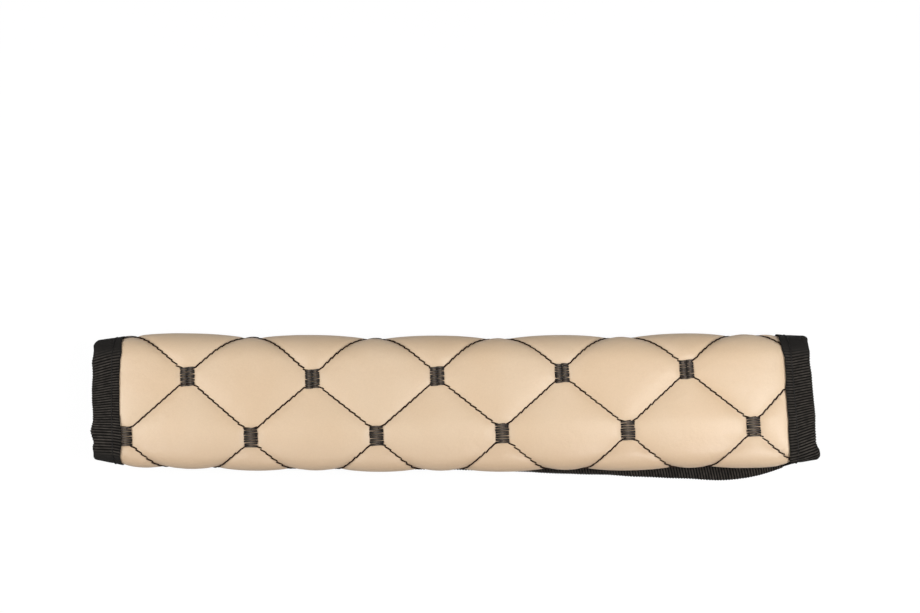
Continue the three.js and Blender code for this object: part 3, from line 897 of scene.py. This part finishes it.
# the edges as pairs of the length along the tape and how far the edge stands off, in millimetres
leftStyle = {
    "nose": 1.0, "slant": -0.16, "wander": 0.0,
    "plain": [(107.0, 8.0), (46.0, 4.6)],
    "inner": [
        (40, 0), (46.9, -0.2), (50.4, 0), (53.9, 0.6), (57.4, 0.7), (60.9, 0.8), (64.4, 0.5),
        (67.9, 0.35), (71.4, 0.1), (81.9, 0.05), (85.4, -0.05), (88.9, 0.05), (92.4, 0.3), (95.9, 0.4),
        (99.4, 1.0), (102.9, 0.65), (106.4, 0.3), (112, 0),
    ],
    "outer": [
        (40, 1.3), (43.9, 1.05), (47.4, 0.2), (50.9, 0), (54.4, -0.6), (57, 0.2), (59.4, 0.85),
        (61.6, 0.3), (64.9, -0.45), (68.4, -0.55), (71.9, -0.45), (75.4, -0.15), (82.4, -0.1),
        (85.9, -0.25), (89.4, -0.45), (92.9, -0.4), (96.4, -0.1), (99.9, -0.35), (103.4, -0.1),
        (106.9, 0.6), (110.4, 0.3), (118, 0),
    ],
}
rightStyle = {
    "nose": 1.0, "slant": 0.2, "wander": 0.0,
    "plain": [(106.0, 8.0), (43.0, 3.0)],
    "inner": [
        (40, -0.6), (43.9, -0.6), (47.4, 0.4), (50.9, 0.45), (54.4, 0.5), (61.4, 0.6), (64.9, 0.4),
        (68.4, 0.35), (71.9, 0.45), (75.4, 0.3), (82.4, 0.45), (85.9, -0.15), (89.4, -0.25),
        (96.4, -0.4), (99.9, 0.45), (103.4, 0.55), (106.9, 0.6), (110, 0.2), (116, 0),
    ],
    "outer": [
        (40, 1.2), (43.9, 1.5), (47.4, 1.05), (50.9, -0.25), (54.4, -0.9), (57.9, -0.75), (61.4, -0.8),
        (64.9, -0.6), (68.4, -0.45), (82.4, -0.55), (89.4, -0.45), (92.9, -0.8), (96.4, -0.75),
        (99.9, -0.05), (103.4, 0.05), (106.9, 0.35), (110.4, 1.2), (118, 0.6),
    ],
}
longStyle = {"nose": 0, "slant": 0.2, "wander": 1.0, "plain": [], "inner": [(0, 0)], "outer": [(0, 0)]}


def makeTapes():
    # t runs along the tape and x in from its bound edge
    end, edge, far = halfLength, setback, panelWidth + setback
    tapes = [
        ("left", "end_binding_left", runLength, leftStyle, lambda t, x: (x - end, t - edge)),
        ("right", "end_binding_right", runLength, rightStyle, lambda t, x: (end - x, t - edge)),
        ("flap_edge", "flap_edge_binding", 2 * sideEnd, longStyle, lambda t, x: (t - sideEnd, far - x)),
        ("tucked_edge", "tuck_edge_binding", 2 * sideEnd, longStyle, lambda t, x: (t - sideEnd, x - edge)),
    ]
    return [makeTape("binding_" + name, *rest) for name, *rest in tapes]


tapes = makeTapes()
print("tapes made:", [len(piece.data.polygons) for piece in tapes])

bindingStitch = {
    **thread, "length": 0.0027, "width": 0.0005, "height": 0.0001, "turn": 0.05, "jitter": 0.04,
    "inset": 3.4, "lift": 1.3, "spacing": 1.0,
}


def makeBindingStitches(material):
    paths = []
    inset = tape["width"] - bindingStitch["inset"]
    s = np.arange(1.0, panelWidth - 1.0, bindingStitch["spacing"])
    for side in (-1, 1):
        paths.append((np.full(len(s), side * (halfLength - inset)), s))
    u = np.arange(-sideEnd + 1, sideEnd - 1, bindingStitch["spacing"])
    paths.append((u, np.full(len(u), panelWidth + setback - inset)))
    paths.append((u, np.full(len(u), inset - setback)))
    mesh = pathMesh("bindingPaths", paths, bindingStitch["lift"])
    rows = grow("binding_stitches", mesh, stitchTree, material, bindingStitch)
    finishPiece(rows, material)


makeBindingStitches(makeThreadMaterial("bindingThread", colour(22, 20, 19), colour(50, 47, 45), 0.7, 0.6))

# the two sheets inside: the level of the outer side, the wall and how far each side dips with the quilting
sheetSteps = {"columns": 70, "rows": 49, "fold": 8}
# the foam's deep colour is a painted shade in the pits of its pores
foam = {
    "top": -1.2, "wall": 1.2, "outerDip": 0.25, "innerDip": 0, "fill": 0.5, "scale": 1400.0,
    "high": 0.5, "deep": colour(196, 190, 176), "light": colour(222, 216, 202), "rough": 0.95,
    "specular": 0.5,
}
lining = {
    "top": -2.7, "wall": 0.5, "outerDip": 0, "innerDip": 0.12, "scale": 1100.0, "high": 0.55,
    "deep": colour(66, 64, 60), "light": colour(40, 38, 36), "rough": 0.9, "specular": 0.2,
}


def makeCellMaterial(name, look):
    # a surface of small cells: the foam's pores or the lining's loops
    material, graph, where = newMaterial(name)
    cells = graph.node("ShaderNodeTexVoronoi", {"Vector": where, "Scale": look["scale"]})
    base = graph.mixColour(graph.spread(cells, 0.1, look["high"]), look["deep"], look["light"])
    normal = graph.bump(cells, 0.0002, 0.6)
    return closeMaterial(material, graph, base, look["rough"], normal, look["specular"])


def puffShare(u, s):
    p, q = (u - panel["origin"]) / panel["span"], (s - panel["edgeMargin"]) / rowSpan
    return np.abs(np.sin(math.pi * (p + q) / 2) * np.sin(math.pi * (p - q) / 2))


def closedSheet(name, look):
    # a sheet of two sides over the whole panel
    rows = [plainRows(sheetSteps["fold"]), np.linspace(0, panelWidth, sheetSteps["rows"])]
    rows = np.unique(np.concatenate(rows).round(3))
    columns = np.linspace(-panelEnd, panelEnd, sheetSteps["columns"])
    gridU, gridS = np.meshgrid(columns, rows)
    size = gridU.size
    puff = puffShare(gridU, gridS)
    outer = look["top"] - look["outerDip"] + look["outerDip"] * puff
    inner = look["top"] - look["wall"] + look["innerDip"] * puff
    sides = [place(gridU, gridS, lift).reshape(-1, 3) for lift in (outer, inner)]
    number = np.arange(size).reshape(gridU.shape)
    quads = np.stack([number[:-1, :-1], number[:-1, 1:], number[1:, 1:], number[1:, :-1]], -1).reshape(-1, 4)
    faces = quads.tolist() + (quads[:, ::-1] + size).tolist()
    rim = [*number[0, :-1], *number[:-1, -1], *number[-1, :0:-1], *number[:0:-1, 0]]
    for a, b in zip(rim, rim[1:] + rim[:1]):
        faces.append([b, a, a + size, b + size])
    mesh = newMesh(name, np.concatenate(sides), faces)
    turnOut(mesh)
    mesh.shade_smooth()
    return newObject(name, mesh)


def makeInnerLayers():
    pad = closedSheet("foam_sheet", foam)
    finishPiece(pad, makeCellMaterial("foam", foam), ["foam_padding"])
    cloth = closedSheet("lining_cloth", lining)
    finishPiece(cloth, makeCellMaterial("lining", lining), ["inner_lining"])


makeInnerLayers()
print("layers made")

# the closure strips, between the tapes of the two long edges
closure = {
    "tapeReach": 11.7, "loopClear": 2.0, "hookClear": 1.0, "endClear": 1.0, "base": 0.45,
    "loopStart": 12.7, "loopLift": 1.05, "hookLift": -3.5, "rings": 60, "pileRings": 120,
    "pileSpacing": 2.1, "weaveScale": 1500.0, "weaveBump": (0.0001, 0.6),
}
closure["width"] = tuckLength - closure["tapeReach"] - closure["loopClear"]
closure["hookStart"] = panelWidth - closure["tapeReach"] - closure["hookClear"] - closure["width"]
pile = {
    "pitch": 0.0023, "length": 0.0008, "width": 0.00022, "height": 0.0006, "turn": 0.0,
    "jitter": 3.1, "sides": 4, "steps": 4,
}


def makeStrip(kind, up, material):
    # a band and the pile that stands on it, outward where up is 1 and inward where it is -1
    start, lift, slot = closure[kind + "Start"], closure[kind + "Lift"], kind + "_tape"
    width, end = closure["width"], sideEnd - closure["endClear"]
    u = np.linspace(-end, end, closure["rings"])
    section = [(0, 0), (0, closure["base"]), (width, closure["base"]), (width, 0)]
    rings = np.stack([place(u, start + a, lift + up * b) for a, b in section], 1)
    mesh = newMesh(kind + "_band", rings.reshape(-1, 3), tubeFaces(len(u), len(section)))
    turnOut(mesh)
    finishPiece(newObject(kind + "_band", mesh), material, [kind + "_strip"])
    line = np.linspace(-end + 1, end - 1, closure["pileRings"])
    spots = np.arange(1.0, width - 0.5, closure["pileSpacing"])
    lines = [(line, np.full(len(line), start + spot)) for spot in spots]
    path = pathMesh(kind + "Pile", lines, lift + up * closure["base"])
    if up < 0:
        ways = path.attributes["outward"]
        values = np.empty(len(path.vertices) * 3, np.float32)
        ways.data.foreach_get("vector", values)
        ways.data.foreach_set("vector", -values)
    finishPiece(grow(kind + "_band_pile", path, stitchTree, material, pile), material)


def makeClosure():
    material, graph, where = newMaterial("closureTape")
    weave = graph.noise(where, closure["weaveScale"])
    base = graph.mixColour(graph.spread(weave, 0.3, 0.7), colour(26, 25, 26), colour(52, 50, 50))
    closeMaterial(material, graph, base, 0.85, graph.bump(weave, *closure["weaveBump"]), 0.2)
    makeStrip("loop", 1, material)
    makeStrip("hook", -1, material)


makeClosure()
print("closure made")

studio = {
    "floorHalf": 4, "floorLight": 0.9, "floorTone": 0.6, "floorGrain": 0.03, "floorGlow": 1.06,
    "world": 0.085,
}
# each lamp's place, aim, size and power
lamps = {
    "over": ((0, -0.08, 0.8), (0, 0, 0), (1.0, 0.16), 0.06),
    "front": ((0, -0.7, 0.8), (0, 0, 0), (1.0, 0.16), 1.5),
    "back": ((0, 0.6, 0.8), (0, 0, 0), (1.0, 0.16), 0.84),
    "leftEnd": ((-0.42, -0.03, 0.36), (-0.15, 0, 0), (0.3, 0.4), 1.5),
    "rightEnd": ((0.34, -0.08, 0.5), (0.15, 0, 0), (0.2, 0.3), 2.35),
}


def makeFloor():
    half = studio["floorHalf"]
    corners = [(-half, -half, 0), (half, -half, 0), (half, half, 0), (-half, half, 0)]
    floor = newObject("floor", newMesh("floor", corners, [(0, 1, 2, 3)]))
    material, graph, where = newMaterial("floorPaper")
    tone = studio["floorTone"]
    grain = graph.spread(graph.noise(where, 30.0), 0.3, 0.7, tone - studio["floorGrain"], tone)
    tone = graph.node("ShaderNodeCombineColor", {0: grain, 1: grain, 2: grain})
    real = graph.node("ShaderNodeBsdfDiffuse", {"Color": tone})
    seen = graph.node("ShaderNodeLightPath", {}, {}, "Is Camera Ray")
    glow = graph.node("ShaderNodeEmission", {"Color": (1, 1, 1, 1), "Strength": studio["floorGlow"]})
    mixed = graph.node("ShaderNodeMixShader", {0: seen * studio["floorLight"], 1: real, 2: glow})
    graph.node("ShaderNodeOutputMaterial", {"Surface": mixed})
    floor.data.materials.append(material)


def makeLamp(name, where, aim, size, power):
    lamp = bpy.data.lights.new(name, "AREA")
    lamp.shape = "RECTANGLE"
    lamp.size, lamp.size_y = size
    lamp.energy = power
    made = newObject(name, lamp)
    made.location = where
    made.rotation_euler = (Vector(aim) - Vector(where)).to_track_quat("-Z", "Y").to_euler()


def makeWorld():
    world = bpy.data.worlds.new("studio")
    scene.world = world
    world.use_nodes = True
    world.node_tree.nodes.clear()
    graph = Graph(world.node_tree)
    seen = graph.node("ShaderNodeLightPath", {}, {}, "Is Camera Ray")
    plain = graph.node("ShaderNodeBackground", {"Color": (1, 1, 1, 1), "Strength": studio["world"]})
    white = graph.node("ShaderNodeBackground", {"Color": (1, 1, 1, 1), "Strength": 1.0})
    mixed = graph.node("ShaderNodeMixShader", {0: seen, 1: plain, 2: white})
    graph.node("ShaderNodeOutputWorld", {"Surface": mixed})


makeFloor()
makeWorld()
for name, lamp in lamps.items():
    makeLamp(name, *lamp)
scene.view_settings.view_transform = "Standard"
print("studio made")
